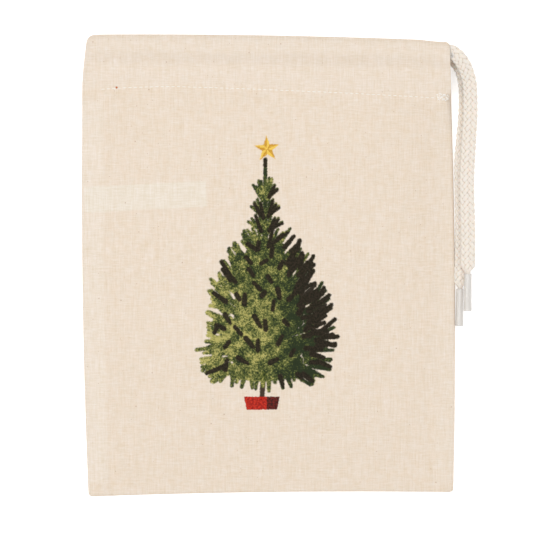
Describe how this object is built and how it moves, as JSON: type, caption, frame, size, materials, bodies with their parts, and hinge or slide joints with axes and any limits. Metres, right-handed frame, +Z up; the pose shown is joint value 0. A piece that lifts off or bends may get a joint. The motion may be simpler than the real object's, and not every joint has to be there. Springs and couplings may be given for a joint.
{
  "type": "drawstring gift pouch",
  "caption": "Flat calico gift pouch with side seams, a stitched drawstring channel round its mouth, a braided cotton cord with clear aglets, and a printed fir tree on the front.",
  "frame": {"origin": "under the middle of the pouch, on the surface it lies on", "axes": "+X to the right, towards the side with the cord's slit; +Y from the folded bottom to the mouth; +Z up, out of the printed front"},
  "size_m": [0.2132, 0.249, 0.0157],
  "materials": {
    "calico": "unbleached plain weave with seed flecks, printed on the front",
    "thread": "sewing thread",
    "label_ribbon": "woven ribbon",
    "cord_cotton": "braided cotton",
    "aglet_film": "clear sleeve"
  },
  "bodies": {
    "pouch": {"back_panel": "calico", "back_casing_hem": "calico", "casing_left_end": "calico", "left_seam_allowance": "calico", "right_seam_allowance": "calico", "left_seam_thread": "thread", "left_overlock_thread": "thread", "right_seam_thread": "thread", "right_overlock_thread": "thread", "back_casing_thread": "thread", "back_bar_tack": "thread", "woven_label": "label_ribbon"},
    "front": {"front_panel": "calico", "front_casing_hem": "calico", "front_casing_thread": "thread", "front_bar_tack": "thread"},
    "cord": {"cord_back_run": "cord_cotton", "cord_left_turn": "cord_cotton"},
    "cord_front": {"cord_front_run": "cord_cotton"},
    "tail_upper": {"cord_upper_tail": "cord_cotton", "upper_aglet": "aglet_film"},
    "tail_lower": {"cord_lower_tail": "cord_cotton", "lower_aglet": "aglet_film"}
  },
  "joints": [
    {"name": "mouth_open", "type": "hinge", "parent": "pouch", "child": "front", "pos_m": [0, -0.1236, 0.0009], "axis": [1, 0, 0], "range_deg": [0, 7]},
    {"name": "drawstring_pull", "type": "slide", "parent": "pouch", "child": "cord", "axis": [0.9999, -0.0144, 0], "range_m": [0, 0.004]},
    {"name": "cord_front_rise", "type": "hinge", "parent": "cord", "child": "cord_front", "pos_m": [0, -0.1236, 0.0009], "axis": [1, 0, 0], "range_deg": [0, 7]},
    {"name": "tail_upper_swing", "type": "hinge", "parent": "cord", "child": "tail_upper", "pos_m": [0.10197, 0.11637, 0], "axis": [0, 0, 1], "range_deg": [0, 90]},
    {"name": "tail_lower_swing", "type": "hinge", "parent": "cord", "child": "tail_lower", "pos_m": [0.10197, 0.11637, 0], "axis": [0, 0, 1], "range_deg": [0, 90]}
  ],
  "couplings": [
    {"joint": "cord_front_rise", "follows": "mouth_open", "ratio": 1}
  ]
}
